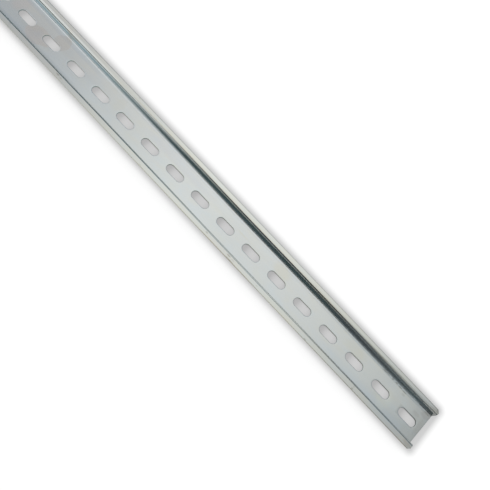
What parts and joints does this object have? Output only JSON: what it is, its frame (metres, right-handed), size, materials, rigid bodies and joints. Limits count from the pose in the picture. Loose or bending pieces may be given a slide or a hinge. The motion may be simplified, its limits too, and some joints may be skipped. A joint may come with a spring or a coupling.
{
  "type": "din rail",
  "caption": "Top-hat section mounting rail in zinc-plated sheet steel, with a slotted web for fixing screws and turned-out lips that clip-on devices hook over.",
  "frame": {"origin": "middle of the rail's length and width, on the underside of the web", "axes": "+X along the rail, +Y across it, +Z out of the open side of the channel"},
  "size_m": [1, 0.035, 0.0075],
  "materials": {
    "zinc_steel": "pale blue-grey zinc plate, satin, with faint water stains"
  },
  "bodies": {
    "root": {"rail": "zinc_steel"}
  },
  "joints": []
}
